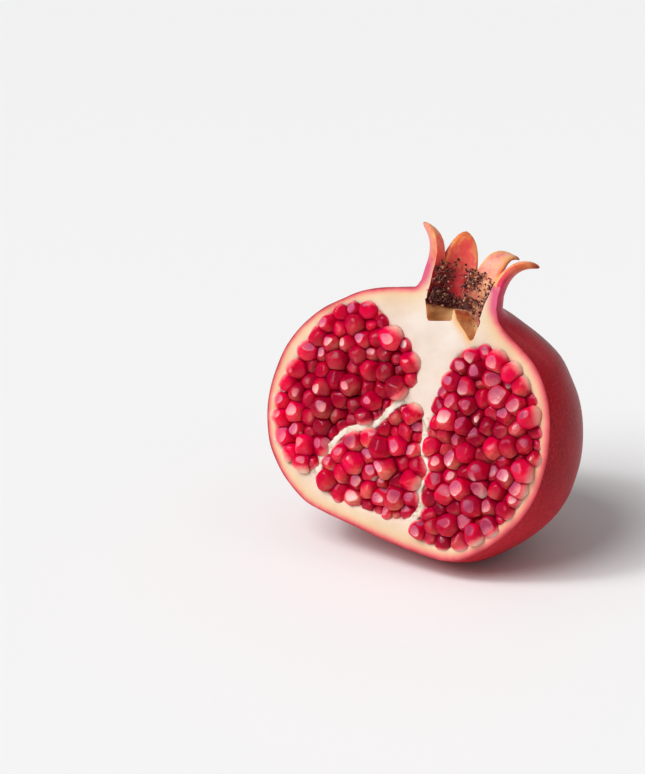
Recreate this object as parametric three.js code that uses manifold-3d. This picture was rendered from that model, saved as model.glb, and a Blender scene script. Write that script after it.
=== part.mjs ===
// A pomegranate cut lengthwise through its crown: the larger half, as cut.
//
// One piece of peel carries the leathery skin, the cream pith, the walls between the seed
// chambers and the calyx crown. Three chambers show on the cut face, each packed with arils,
// and dried stamens line the inside of the crown.
//
// Everything is modelled in the face frame, in millimetres: x (u) runs to the right across the
// cut face, y (v) up it, z (w) out of it, and the face is the plane w = 0. The fruit's own axis
// lies in that plane, leaning right by CROWN_LEAN: a is the distance across the axis, t the
// distance along it towards the crown. The group then stands the half on its small flat spot.
import * as THREE from "three";
import { mergeVertices } from "three/addons/utils/BufferGeometryUtils.js";
import Module from "manifold-3d";

const wasm = await Module();
wasm.setup();
const { Manifold, Mesh: SolidMesh } = wasm;
const rad = THREE.MathUtils.degToRad;

// ---- Driving dimensions ----
const CROWN_LEAN = rad(21); // fruit axis against the face's upright, in the face plane
const FACE_TURN = rad(28); // the half is set down turned this far about the face's upright
const STAND_TILT = rad(20); // and tilted back this far
const FLAT_DEPTH = 1.3; // how much of the round body the flat spot takes off
const BODY_AXIS_W = -9.5; // the body's axis lies this far behind the cut
const NECK_AXIS_W = -1.0; // the crown's axis lies nearly in it
const NECK_FROM = 31; // the axis bends from body to crown between these heights
const NECK_TO = 42;
const SHOULDER_LIFT = 2.8; // behind the crown the shoulder stands this much higher
const RIB = 0.01; // six soft ribs round the body, as a share of its radius
const RIB_COUNT = 6;
const CHAMBER_SCALE = 0.94; // the chambers end in this smaller copy of the body
const CHAMBER_CENTRE = [-2.9, -1, BODY_AXIS_W]; // a, t, w that it shrinks about
const LIP = 1.2; // a chamber keeps its outline on the face to this depth
const GAP = 0.35; // clear space between a filling and the wall round it
const SOLE = 60; // reach of the boxes that cut away half a space

// The outline of the section at the cut: height t, left edge a, right edge a.
const OUTLINE = [
  [-36.3, -20, 6],
  [-35.9, -25.2, 12.5],
  [-35.0, -28.6, 21.6],
  [-33.4, -32.4, 27.0],
  [-31.0, -36.8, 30.5],
  [-28.0, -40.6, 33.7],
  [-24.0, -44.5, 37.3],
  [-19.0, -47.3, 40.8],
  [-13.0, -49.5, 43.8],
  [-6.5, -50.6, 45.5],
  [0.0, -50.6, 45.7],
  [6.0, -49.9, 45.2],
  [12.0, -47.9, 43.7],
  [17.5, -45.0, 41.6],
  [22.5, -41.3, 38.8],
  [27.0, -36.4, 35.0],
  [30.6, -32.2, 30.8],
  [33.4, -27.5, 25.2],
  [35.4, -22.9, 20.4],
  [37.2, -17.8, 17.0],
  [38.8, -14.3, 15.2],
  [41.4, -13.2, 13.5],
];
const STEM_POLE = [-36.2, -6]; // t, a of the stem scar's centre

// The crown: a tube that splits into sepals.
const CROWN_A = -0.3; // its axis
const CROWN_FROM = 45; // the height where the blade lengths below start
const CROWN_RADIUS = 11.6; // to the middle of the wall
const WALL = 2.8; // wall there
const NOTCH_LENGTH = 2.0; // blade length at a notch between two sepals
const NOTCH_CURL = 0.05; // outward curl there, radians a millimetre
// Each sepal ends at the angle `to` and starts at the one before: angle 0 points right along
// the cut, 90 straight back. length is along the blade, bend the angle its tip turns outwards.
const FIRST_NOTCH = rad(-5);
const SEPALS = [
  { to: rad(48), length: 14.6, bend: rad(70) },
  { to: rad(101), length: 15.8, bend: rad(86) },
  { to: rad(150), length: 14.2, bend: rad(36) },
  { to: rad(201), length: 15.4, bend: rad(64) },
  { to: rad(252), length: 13.4, bend: rad(45) },
  { to: rad(303), length: 13.8, bend: rad(70) },
  { to: rad(355), length: 13.2, bend: rad(60) },
];
// The cup inside the crown: height t, radius, from the sepals down to its floor.
const CUP = [
  [44, 10.1],
  [41, 9.7],
  [38, 9.9],
  [35, 9.6],
  [32.6, 8.6],
  [31.4, 6.0],
  [31.0, 3.0],
];
const CUP_FLOOR = 31.0;
const RIDGE = { a: 0.6, height: 3.6, width: 1.3 }; // the ridge across the cup's floor

// The chambers' outlines on the cut face, u and v.
const LEFT_CHAMBER = [
  [-19.6, 36.9], [-14.2, 36.2], [-10.4, 33.6], [-7.8, 29.6], [-3.6, 26.6], [-0.6, 22.8],
  [1.4, 18.4], [1.2, 14.4], [-0.6, 11.0], [-4.2, 8.5], [-7.9, 5.9], [-10.6, 3.1],
  [-13.4, 0.8], [-18.1, -0.3], [-22.4, -1.0], [-26.1, -3.2], [-28.7, -6.2], [-31.9, -9.4],
  [-33.6, -13.2], [-36.8, -14.6], [-41.0, -13.6], [-44.4, -10.6], [-46.9, -6.6], [-48.5, -1.9],
  [-48.8, 3.7], [-48.0, 9.0], [-46.0, 13.8], [-43.0, 18.2], [-39.4, 22.8], [-35.6, 27.4],
  [-31.6, 32.2], [-25.8, 35.8],
];
const MIDDLE_CHAMBER = [
  [-2.4, 6.2], [1.2, 4.8], [2.9, 1.6], [2.9, -3.2], [1.6, -7.1], [2.9, -11.0],
  [3.8, -14.8], [1.2, -18.0], [0.6, -21.0], [1.2, -25.0], [-1.8, -28.0], [-6.0, -28.6],
  [-10.4, -28.0], [-15.0, -26.4], [-19.6, -25.0], [-24.4, -23.6], [-29.4, -21.6], [-33.0, -17.6],
  [-31.8, -13.6], [-30.2, -10.4], [-27.2, -7.3], [-24.6, -4.5], [-21.5, -2.9], [-17.6, -2.2],
  [-12.5, -1.0], [-9.1, 1.7], [-6.2, 4.6],
];
const RIGHT_CHAMBER = [
  [14.8, 20.6], [19.6, 22.6], [24.8, 22.8], [29.6, 20.6], [34.2, 17.0], [37.6, 12.4],
  [40.2, 7.4], [41.2, 1.6], [41.8, -4.0], [41.4, -9.8], [38.8, -15.6], [36.2, -21.6],
  [32.4, -27.4], [26.6, -31.6], [20.4, -35.4], [13.8, -36.8], [8.0, -36.8], [2.8, -35.0],
  [-0.8, -32.4], [0.9, -29.4], [3.3, -25.6], [2.5, -21.4], [3.0, -18.6], [5.4, -15.2],
  [4.7, -10.7], [3.3, -7.2], [4.6, -3.5], [5.8, 2.0], [6.6, 6.0], [9.0, 10.6],
  [11.8, 15.0],
];
const CHAMBER_DEPTH = 30; // how far behind the cut a chamber may reach

// Arils: their size, and how they are packed on the cut face.
const ARIL_SPACING = 5.6;
const ARIL_SHAKE = 2.4; // how far they start from even rows
const ARIL_RADIUS = 3.0; // across
const ARIL_LENGTH = 4.3; // half the length
const ARIL_LIFT = -0.9; // their centres against the cut face
const ARIL_EDGE = 2.5; // their centres keep this far from the chamber's wall
const BED_LEVEL = -3.4; // the packed arils below are one body up to this level
const SETTLE_STEPS = 60; // rounds of pushing apart

// Dried stamens on the inside of the crown.
const STAMEN_BAND = { from: 36.5, to: 46.5, thick: 0.8, clear: 0.45 }; // t, t, mm, mm
const STAMEN_COUNT = 30;
const STAMEN_SEED = 5;

// Grid sizes.
const SEPAL_STEPS = 12; // columns round each sepal, closer together at the notches
const BODY_RINGS = 23;
const BLADE_RINGS = 5;

// ---- Small tools ----

/** Numbers from 0 to 1 that are the same each run. */
function randomSource(seed) {
  let state = seed >>> 0;
  return () => {
    state = (state + 0x6d2b79f5) >>> 0;
    let x = Math.imul(state ^ (state >>> 15), state | 1);
    x = (x ^ (x + Math.imul(x ^ (x >>> 7), x | 61))) >>> 0;
    return ((x ^ (x >>> 14)) >>> 0) / 4294967296;
  };
}

const smooth = (from, to, x) => THREE.MathUtils.smoothstep(x, from, to);

/** A point of the fruit's own axes in the face frame. */
function fruitPoint(a, t, w) {
  const [c, s] = [Math.cos(CROWN_LEAN), Math.sin(CROWN_LEAN)];
  return new THREE.Vector3(a * c + t * s, -a * s + t * c, w);
}

/** A curve through rows of numbers, sampled at count places; closed joins its ends. */
function curveThrough(rows, count, closed = false) {
  const n = rows.length;
  const at = (i) => rows[closed ? (i + n) % n : Math.min(n - 1, Math.max(0, i))];
  const spans = closed ? n : n - 1;
  const last = closed ? count : count - 1;
  return Array.from({ length: count }, (_, k) => {
    const x = (k / last) * spans;
    const i = Math.min(spans - 1, Math.floor(x));
    const f = x - i;
    const [p, q, r, s] = [at(i - 1), at(i), at(i + 1), at(i + 2)];
    return q.map((_, j) => {
      const linear = (r[j] - p[j]) * f;
      const square = (2 * p[j] - 5 * q[j] + 4 * r[j] - s[j]) * f * f;
      const cube = (3 * q[j] - p[j] - 3 * r[j] + s[j]) * f * f * f;
      return q[j] + (linear + square + cube) / 2;
    });
  });
}

/** A geometry's closed surface as a solid. */
function solidOf(geometry) {
  const bare = new THREE.BufferGeometry().setAttribute("position", geometry.getAttribute("position"));
  if (geometry.index) bare.setIndex(geometry.index);
  const merged = mergeVertices(bare, 1e-5);
  return new Manifold(
    new SolidMesh({
      numProp: 3,
      vertProperties: merged.getAttribute("position").array,
      triVerts: new Uint32Array(merged.index.array),
    }),
  );
}

/** A solid as a geometry with flat-shaded faces. */
function geometryOf(solid) {
  const mesh = solid.getMesh();
  const xyz = new Float32Array(mesh.numVert * 3);
  for (let i = 0; i < mesh.numVert; i++)
    for (let j = 0; j < 3; j++) xyz[i * 3 + j] = mesh.vertProperties[i * mesh.numProp + j];
  const geometry = new THREE.BufferGeometry();
  geometry.setAttribute("position", new THREE.BufferAttribute(xyz, 3));
  geometry.setIndex(new THREE.BufferAttribute(new Uint32Array(mesh.triVerts), 1));
  geometry.computeVertexNormals();
  return geometry;
}

/** A closed solid from rings of points, each ring as long as the next, closed by two poles. */
function loft(firstPole, rings, lastPole) {
  const n = rings[0].length;
  const points = [firstPole, ...rings.flat(), lastPole];
  const last = points.length - 1;
  const at = (ring, i) => 1 + ring * n + (i % n);
  const faces = [];
  for (let i = 0; i < n; i++) {
    faces.push(0, at(0, i), at(0, i + 1));
    for (let k = 0; k + 1 < rings.length; k++) {
      faces.push(at(k, i), at(k + 1, i), at(k + 1, i + 1));
      faces.push(at(k, i), at(k + 1, i + 1), at(k, i + 1));
    }
    faces.push(at(rings.length - 1, i), last, at(rings.length - 1, i + 1));
  }
  const geometry = new THREE.BufferGeometry();
  geometry.setFromPoints(points);
  geometry.setIndex(faces);
  const solid = solidOf(geometry);
  return solid.volume() > 0 ? solid : solidOf(turnedOut(geometry));
}

/** The same surface with its faces turned round. */
function turnedOut(geometry) {
  const index = geometry.index.array.slice();
  for (let i = 0; i < index.length; i += 3) [index[i + 1], index[i + 2]] = [index[i + 2], index[i + 1]];
  return geometry.clone().setIndex(new THREE.BufferAttribute(index, 1));
}

/** A box solid that fills the half space beyond a point, along a direction. */
function halfSpace(point, direction) {
  const box = new THREE.BoxGeometry(4 * SOLE, 4 * SOLE, 2 * SOLE);
  box.translate(0, 0, SOLE);
  const turn = new THREE.Quaternion().setFromUnitVectors(new THREE.Vector3(0, 0, 1), direction);
  box.applyQuaternion(turn).translate(point.x, point.y, point.z);
  return solidOf(box);
}

// ---- The peel ----

const bodyAxisW = (t) => BODY_AXIS_W + (NECK_AXIS_W - BODY_AXIS_W) * smooth(NECK_FROM, NECK_TO, t);

/** The angles of the grid's columns, closer together at the notches between sepals. */
function columnAngles() {
  const angles = [];
  let from = FIRST_NOTCH;
  for (const { to } of SEPALS) {
    for (let j = 0; j < SEPAL_STEPS; j++)
      angles.push(from + ((to - from) * (1 - Math.cos((Math.PI * j) / SEPAL_STEPS))) / 2);
    from = to;
  }
  return angles;
}

/** One ring of the body, whose chord at the cut runs from left to right. */
function bodyRing([t, left, right], angles) {
  const w = bodyAxisW(t);
  const half = (right - left) / 2;
  const radius = Math.hypot(half, w * smooth(4, 20, half));
  const ribs = RIB * smooth(-36, -10, t) * (1 - smooth(10, 34, t));
  const lift = SHOULDER_LIFT * smooth(25, 37, t) * (1 - smooth(36.5, 41.4, t));
  return angles.map((angle) => {
    const [c, s] = [Math.cos(angle), Math.sin(angle)];
    const r = radius * (1 + ribs * Math.sin(RIB_COUNT * angle));
    return fruitPoint((left + right) / 2 + r * c, t + lift * Math.max(0, s), w - r * s);
  });
}

/** Which sepal an angle falls in, and where across it: -1 and 1 are its notches. */
function sepalAt(angle) {
  let from = FIRST_NOTCH;
  for (const sepal of SEPALS) {
    if (angle < sepal.to + 1e-9) return { sepal, across: (2 * (angle - from)) / (sepal.to - from) - 1 };
    from = sepal.to;
  }
  return { sepal: SEPALS[SEPALS.length - 1], across: 1 };
}

/** A point on the crown's wall: share runs up the blade to its rim, side is 1 outside, -1 inside. */
function bladePoint(angle, share, side) {
  const { sepal, across } = sepalAt(angle);
  const reach = Math.pow(Math.max(0, 1 - Math.abs(across)), 0.56);
  const length = NOTCH_LENGTH + (sepal.length - NOTCH_LENGTH) * reach;
  const curl = NOTCH_CURL + (sepal.bend / sepal.length - NOTCH_CURL) * (1 - across * across);
  const along = share * length;
  const turn = curl * along;
  const out = (1 - Math.cos(turn)) / curl;
  const up = Math.sin(turn) / curl;
  const wall = WALL * (1 - 0.6 * Math.min(1, along / sepal.length)) * Math.sqrt(1 - Math.pow(share, 5));
  const r = CROWN_RADIUS + out + (side * wall * Math.cos(turn)) / 2;
  const t = CROWN_FROM + up - (side * wall * Math.sin(turn)) / 2;
  return fruitPoint(CROWN_A + r * Math.cos(angle), t, NECK_AXIS_W - r * Math.sin(angle));
}

/** One ring inside the cup; the ridge stands up across the floor. */
function cupRing([t, radius], angles) {
  return angles.map((angle) => {
    const a = CROWN_A + radius * Math.cos(angle);
    const onFloor = 1 - smooth(CUP_FLOOR, CUP_FLOOR + 3, t);
    const ridge = RIDGE.height * Math.exp(-(((a - RIDGE.a) / RIDGE.width) ** 2)) * onFloor;
    return fruitPoint(a, t + ridge, NECK_AXIS_W - radius * Math.sin(angle));
  });
}

/** The whole fruit's outer surface, in through the crown and down to the cup's floor. */
function fruitSolid() {
  const angles = columnAngles();
  const body = curveThrough(OUTLINE, BODY_RINGS).map((row) => bodyRing(row, angles));
  const shares = (count) => Array.from({ length: count }, (_, k) => Math.sin(((k + 1) * Math.PI) / (2 * count)));
  const outside = [0, ...shares(BLADE_RINGS)].map((s) => angles.map((angle) => bladePoint(angle, s, 1)));
  const inside = [0, ...shares(BLADE_RINGS).slice(0, -1)]
    .reverse()
    .map((s) => angles.map((angle) => bladePoint(angle, s, -1)));
  const cup = CUP.map((row) => cupRing(row, angles));
  const scar = fruitPoint(STEM_POLE[1], STEM_POLE[0], BODY_AXIS_W);
  const floor = fruitPoint(CROWN_A, CUP_FLOOR + RIDGE.height * 0.8, NECK_AXIS_W);
  return loft(scar, [...body, ...outside, ...inside, ...cup], floor);
}

/** The space that chambers may fill: a smaller copy of the body. */
function chamberSpace(scale) {
  const angles = Array.from({ length: 40 }, (_, i) => (i * Math.PI) / 20);
  const rows = curveThrough(OUTLINE.slice(0, -4), 16);
  const centre = fruitPoint(...CHAMBER_CENTRE);
  const shrink = (p) => p.sub(centre).multiplyScalar(scale).add(centre);
  const rings = rows.map((row) => bodyRing(row, angles).map(shrink));
  const top = shrink(fruitPoint(CROWN_A, rows[rows.length - 1][0] + 1, NECK_AXIS_W));
  const bottom = shrink(fruitPoint(STEM_POLE[1], STEM_POLE[0], BODY_AXIS_W));
  return loft(bottom, rings, top);
}

/** A chamber's outline as a closed curve, drawn in by inset. */
function chamberOutline(points, inset, count) {
  const curve = curveThrough(points, count, true);
  return curve.map((p, i) => {
    const [q, r] = [curve[(i + count - 1) % count], curve[(i + 1) % count]];
    const [dx, dy] = [r[0] - q[0], r[1] - q[1]];
    const length = Math.hypot(dx, dy);
    return [p[0] + (inset * dy) / length, p[1] - (inset * dx) / length];
  });
}

/** A chamber, or its filling when inset: the outline carried back to the peel's wall. */
function chamberSolid(points, inset, top, space) {
  const outline = chamberOutline(points, inset, Math.round(points.length * 1.5));
  const shape = new THREE.Shape(outline.map(([u, v]) => new THREE.Vector2(u, v)));
  const block = new THREE.ExtrudeGeometry(shape, { depth: top + CHAMBER_DEPTH - inset, bevelEnabled: false });
  return solidOf(block.translate(0, 0, -CHAMBER_DEPTH + inset)).intersect(space);
}

// ---- The arils ----

/** How far a point lies inside an outline, and the way further in. */
function depthInside(outline, u, v) {
  let best = { distance: Infinity };
  let inside = false;
  for (let i = 0, j = outline.length - 1; i < outline.length; j = i++) {
    const [x1, y1] = outline[j];
    const [x2, y2] = outline[i];
    if (y1 > v !== y2 > v && u < ((x2 - x1) * (v - y1)) / (y2 - y1) + x1) inside = !inside;
    const [ex, ey] = [x2 - x1, y2 - y1];
    const f = Math.min(1, Math.max(0, ((u - x1) * ex + (v - y1) * ey) / (ex * ex + ey * ey)));
    const [dx, dy] = [u - (x1 + f * ex), v - (y1 + f * ey)];
    const distance = Math.sqrt(dx * dx + dy * dy);
    if (distance < best.distance) best = { distance, dx, dy };
  }
  const sign = inside ? 1 : -1;
  const length = best.distance || 1;
  return { depth: sign * best.distance, inU: (sign * best.dx) / length, inV: (sign * best.dy) / length };
}

/** Where the arils of a chamber sit on the cut face: staggered rows, shaken and pushed apart. */
function arilPlaces(points, seed) {
  const outline = curveThrough(points, points.length * 2, true);
  const random = randomSource(seed);
  const places = [];
  const reach = Math.ceil(SOLE / ARIL_SPACING);
  for (let i = -reach; i <= reach; i++)
    for (let j = -reach; j <= reach; j++) {
      const shake = () => (random() - 0.5) * ARIL_SHAKE;
      const u = (j + (i % 2 ? 0.5 : 0)) * ARIL_SPACING + shake();
      const v = i * 0.866 * ARIL_SPACING + shake();
      const place = { u, v, grow: random(), lift: random() };
      if (depthInside(outline, u, v).depth > ARIL_EDGE * 0.4) places.push(place);
    }
  const count = places.length;
  for (let step = 0; step < SETTLE_STEPS; step++) {
    for (let i = 0; i < count; i++)
      for (let j = i + 1; j < count; j++) {
        const [p, q] = [places[i], places[j]];
        const [du, dv] = [q.u - p.u, q.v - p.v];
        const distance = Math.sqrt(du * du + dv * dv) + 1e-9;
        const want = ARIL_SPACING * (0.88 + 0.24 * (p.grow + q.grow) * 0.5);
        if (distance >= want) continue;
        const push = (0.45 * (want - distance)) / distance;
        p.u -= du * push * 0.5;
        p.v -= dv * push * 0.5;
        q.u += du * push * 0.5;
        q.v += dv * push * 0.5;
      }
    for (const p of places) {
      const near = depthInside(outline, p.u, p.v);
      const short = ARIL_EDGE - near.depth;
      if (short > 0) {
        p.u += near.inU * short;
        p.v += near.inV * short;
      }
    }
  }
  return places;
}

/** One aril, standing on end inside the chamber and lying over towards the wall at its edge. */
function arilSolid(place, outline) {
  const near = depthInside(outline, place.u, place.v);
  const lie = rad(60) * (1 - smooth(ARIL_EDGE, ARIL_EDGE + 3.5, near.depth));
  const axis = new THREE.Vector3(near.inU * Math.sin(lie), near.inV * Math.sin(lie), Math.cos(lie));
  const size = 0.9 + 0.2 * place.grow;
  const grain = new THREE.SphereGeometry(1, 6, 4).rotateY(Math.PI * place.lift).rotateX(Math.PI / 2);
  grain.scale(ARIL_RADIUS * size, ARIL_RADIUS * size, ARIL_LENGTH * size);
  grain.applyQuaternion(new THREE.Quaternion().setFromUnitVectors(new THREE.Vector3(0, 0, 1), axis));
  return solidOf(grain.translate(place.u, place.v, ARIL_LIFT - 1.2 + 1.8 * place.lift));
}

/** A chamber's filling: the packed bed below, and the arils that show, standing out of it. */
function arilCluster(points, seed, space) {
  const outline = curveThrough(points, points.length * 2, true);
  const bed = chamberSolid(points, GAP, BED_LEVEL, space);
  const room = chamberSolid(points, GAP, ARIL_LENGTH + 2, openAbove(space, GAP - LIP));
  const arils = arilPlaces(points, seed).map((place) => arilSolid(place, outline));
  return largestBody(Manifold.union([bed, ...arils.map((aril) => aril.intersect(room))]));
}

/** A space together with everything above a level. */
function openAbove(space, level) {
  return space.add(halfSpace(new THREE.Vector3(0, 0, level), new THREE.Vector3(0, 0, 1)));
}

function largestBody(solid) {
  return solid.decompose().sort((a, b) => b.volume() - a.volume())[0];
}

// ---- The stamens ----

const cupRadius = (t) => {
  const rows = [[CROWN_FROM, CROWN_RADIUS - WALL / 2], ...CUP];
  for (let i = 0; i + 1 < rows.length; i++)
    if (t >= rows[i + 1][0]) {
      const f = (rows[i][0] - t) / (rows[i][0] - rows[i + 1][0]);
      return rows[i][1] + (rows[i + 1][1] - rows[i][1]) * Math.max(0, f);
    }
  return rows[rows.length - 1][1];
};

/** A closed solid between two sheets of points, each a grid of rows. */
function slab(outer, inner) {
  const [rows, columns] = [outer.length, outer[0].length];
  const points = [...outer.flat(), ...inner.flat()];
  const at = (sheet, i, j) => sheet * rows * columns + i * columns + j;
  const faces = [];
  const quad = (p, q, r, s) => faces.push(p, q, r, p, r, s);
  for (let i = 0; i + 1 < rows; i++)
    for (let j = 0; j + 1 < columns; j++) {
      quad(at(0, i, j), at(0, i, j + 1), at(0, i + 1, j + 1), at(0, i + 1, j));
      quad(at(1, i, j), at(1, i + 1, j), at(1, i + 1, j + 1), at(1, i, j + 1));
    }
  for (let i = 0; i + 1 < rows; i++) {
    quad(at(0, i, 0), at(0, i + 1, 0), at(1, i + 1, 0), at(1, i, 0));
    quad(at(0, i + 1, columns - 1), at(0, i, columns - 1), at(1, i, columns - 1), at(1, i + 1, columns - 1));
  }
  for (let j = 0; j + 1 < columns; j++) {
    quad(at(0, 0, j + 1), at(0, 0, j), at(1, 0, j), at(1, 0, j + 1));
    quad(at(0, rows - 1, j), at(0, rows - 1, j + 1), at(1, rows - 1, j + 1), at(1, rows - 1, j));
  }
  const geometry = new THREE.BufferGeometry().setFromPoints(points);
  geometry.setIndex(faces);
  const solid = solidOf(geometry);
  return solid.volume() > 0 ? solid : solidOf(turnedOut(geometry));
}

/** A point inside the crown, in from its wall. */
function insideCrown(angle, t, inwards) {
  const r = cupRadius(t) - inwards;
  return fruitPoint(CROWN_A + r * Math.cos(angle), t, NECK_AXIS_W - r * Math.sin(angle));
}

/** One stamen: a thread from the wall to the dry anther on its end. */
function stamenSolid(angle, t, length, rise, anther) {
  const root = insideCrown(angle, t, STAMEN_BAND.clear + 0.3);
  const tip = insideCrown(angle, t + length * Math.sin(rise), STAMEN_BAND.clear + 0.3 + length * Math.cos(rise));
  const along = tip.clone().sub(root);
  const thread = new THREE.CylinderGeometry(0.28, 0.42, along.length(), 3);
  const turn = new THREE.Quaternion().setFromUnitVectors(new THREE.Vector3(0, 1, 0), along.clone().normalize());
  thread.applyQuaternion(turn);
  const middle = root.clone().add(tip).multiplyScalar(0.5);
  const head = new THREE.OctahedronGeometry(anther).scale(1, 1.5, 1).applyQuaternion(turn);
  return solidOf(thread.translate(middle.x, middle.y, middle.z)).add(solidOf(head.translate(tip.x, tip.y, tip.z)));
}

/** The stamens, on the band of dry tissue that they grow from. */
function stamenCluster() {
  const { from, to, thick, clear } = STAMEN_BAND;
  const grid = (inwards) =>
    Array.from({ length: 4 }, (_, i) =>
      Array.from({ length: 13 }, (_, j) => insideCrown(rad(9 + (162 * j) / 12), from + ((to - from) * i) / 3, inwards)),
    );
  const random = randomSource(STAMEN_SEED);
  const threads = Array.from({ length: STAMEN_COUNT }, (_, i) => {
    const angle = rad(14 + (152 * ((i * 0.618 + 0.07 * random()) % 1)));
    const t = from + 1.6 + (to - from - 3) * random();
    return stamenSolid(angle, t, 1.5 + 1.5 * random(), rad(10 + 50 * random()), 0.6 + 0.25 * random());
  });
  const behindCut = halfSpace(new THREE.Vector3(0, 0, -GAP), new THREE.Vector3(0, 0, 1));
  const all = Manifold.union([slab(grid(clear), grid(clear + thick)), ...threads]);
  return largestBody(all.subtract(behindCut));
}

// ---- Setting it down ----

/** The part frame's up, right and back, as directions of the face frame. */
function standingAxes() {
  const towards = new THREE.Vector3(Math.sin(FACE_TURN), 0, Math.cos(FACE_TURN));
  const up = towards.multiplyScalar(Math.sin(STAND_TILT)).add(new THREE.Vector3(0, Math.cos(STAND_TILT), 0));
  const back = new THREE.Vector3(0, 0, -1).addScaledVector(up, up.z).normalize();
  return { up, back, right: new THREE.Vector3().crossVectors(back, up) };
}

/** The middle of the flat spot, once the body has been trimmed level there. */
function flatMiddle(solid, { up, back, right }, level) {
  const mesh = solid.getMesh();
  const spot = new THREE.Box2();
  for (let i = 0; i < mesh.numVert; i++) {
    const p = new THREE.Vector3().fromArray(mesh.vertProperties, i * mesh.numProp);
    if (Math.abs(p.dot(up) - level) < 1e-3) spot.expandByPoint(new THREE.Vector2(p.dot(right), p.dot(back)));
  }
  const middle = spot.getCenter(new THREE.Vector2());
  return { x: middle.x, y: middle.y, z: level };
}

function lowestLevel(solid, up) {
  const mesh = solid.getMesh();
  let low = Infinity;
  for (let i = 0; i < mesh.numVert; i++)
    low = Math.min(low, new THREE.Vector3().fromArray(mesh.vertProperties, i * mesh.numProp).dot(up));
  return low;
}

// ---- The object ----

const axes = standingAxes();
const aboveCut = halfSpace(new THREE.Vector3(0, 0, 0), new THREE.Vector3(0, 0, 1));
const half = fruitSolid().subtract(aboveCut);
const level = lowestLevel(half, axes.up) + FLAT_DEPTH;
const standing = half.subtract(halfSpace(axes.up.clone().multiplyScalar(level), axes.up.clone().negate()));
const foot = flatMiddle(standing, axes, level);

const chamberRoom = chamberSpace(CHAMBER_SCALE);
const fillingRoom = chamberSpace(CHAMBER_SCALE - GAP / 35);
const chambers = [
  { name: "arils_left", points: LEFT_CHAMBER, seed: 11 },
  { name: "arils_middle", points: MIDDLE_CHAMBER, seed: 22 },
  { name: "arils_right", points: RIGHT_CHAMBER, seed: 33 },
];
const peel = chambers.reduce(
  (solid, { points }) => solid.subtract(chamberSolid(points, 0, 5, openAbove(chamberRoom, -LIP))),
  standing,
);

const finish = (color, roughness) => new THREE.MeshStandardMaterial({ color, roughness, metalness: 0 });
const peelFinish = finish(0xb3202f, 0.4);
const arilFinish = finish(0x9c0620, 0.15);
const stamenFinish = finish(0x5a2a1c, 0.9);

const group = new THREE.Group();
const { up, back, right } = axes;
group.matrixAutoUpdate = false;
group.matrix.set(
  right.x, right.y, right.z, -foot.x,
  back.x, back.y, back.z, -foot.y,
  up.x, up.y, up.z, -foot.z,
  0, 0, 0, 1,
);

function addNode(name, solid, material) {
  const mesh = new THREE.Mesh(geometryOf(solid), material);
  mesh.name = name;
  group.add(mesh);
}

addNode("peel", largestBody(peel), peelFinish);
for (const { name, points, seed } of chambers) addNode(name, arilCluster(points, seed, fillingRoom), arilFinish);
addNode("stamens", stamenCluster(), stamenFinish);

export default group;
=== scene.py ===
"""Looks of the pomegranate half: fine peel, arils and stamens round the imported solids.

Shapes are worked out in the face frame in millimetres, as in the part's own source: u to the
right across the cut face, v up it, w out of it. TO_PART turns that into the part's frame.
The fruit's own axes lean in the face: a lies across it, and t along it from stem to crown.
"""

import bpy
import bmesh
import math
import numpy as np
from mathutils import Matrix, Vector, noise
from mathutils.geometry import delaunay_2d_cdt


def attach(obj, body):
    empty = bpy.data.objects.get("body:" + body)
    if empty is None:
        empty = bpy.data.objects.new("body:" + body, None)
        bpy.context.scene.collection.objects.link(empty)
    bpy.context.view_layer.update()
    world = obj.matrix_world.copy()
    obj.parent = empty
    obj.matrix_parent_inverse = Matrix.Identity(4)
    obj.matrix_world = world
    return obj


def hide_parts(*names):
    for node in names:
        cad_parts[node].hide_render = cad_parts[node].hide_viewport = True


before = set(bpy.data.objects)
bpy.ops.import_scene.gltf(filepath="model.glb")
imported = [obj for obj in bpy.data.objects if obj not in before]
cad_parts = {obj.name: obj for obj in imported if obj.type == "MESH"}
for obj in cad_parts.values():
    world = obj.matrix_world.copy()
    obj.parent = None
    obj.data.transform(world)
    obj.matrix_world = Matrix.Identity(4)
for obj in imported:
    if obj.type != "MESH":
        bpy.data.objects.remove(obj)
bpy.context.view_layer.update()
rad = math.radians

# ---- the part's own numbers
CROWN_LEAN = rad(21)
FACE_TURN = rad(28)  # how far round the camera sees the face
STAND_TILT = rad(20)
SPOT = (-4.408, -20.964, 43.395)  # the face's origin, from the flat spot
BODY_AXIS_W = -9.5
NECK_AXIS_W = -1.0
NECK_FROM, NECK_TO = 31, 42
SHOULDER_LIFT = 2.8
SHOULDER_RISE, SHOULDER_FALL = (25, 37), (36.5, 41.4)  # the heights t where it comes and goes
RIB, RIB_COUNT = 0.01, 6
RIBS_RISE, RIBS_FALL = (-36, -10), (10, 34)
# The fruit's sides in the face: height t, and a at the left and at the right.
OUTLINE = [
    (-36.3, -20, 6), (-35.9, -25.2, 12.5), (-35.0, -28.6, 21.6), (-33.4, -32.4, 27.0),
    (-31.0, -36.8, 30.5), (-28.0, -40.6, 33.7), (-24.0, -44.5, 37.3), (-19.0, -47.3, 40.8),
    (-13.0, -49.5, 43.8), (-6.5, -50.6, 45.5), (0.0, -50.6, 45.7), (6.0, -49.9, 45.2),
    (12.0, -47.9, 43.7), (17.5, -45.0, 41.6), (22.5, -41.3, 38.8), (27.0, -36.4, 35.0),
    (30.6, -32.2, 30.8), (33.4, -27.5, 25.2), (35.4, -22.9, 20.4), (37.2, -17.8, 17.0),
    (38.8, -14.3, 15.2), (41.4, -13.2, 13.5),
]
STEM_POLE = (-36.2, -6)  # t, a
CROWN_A, CROWN_FROM, CROWN_RADIUS, WALL = -0.3, 45, 11.6, 2.8
NOTCH_LENGTH, NOTCH_CURL = 2.0, 0.05
FIRST_NOTCH = -5
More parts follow.
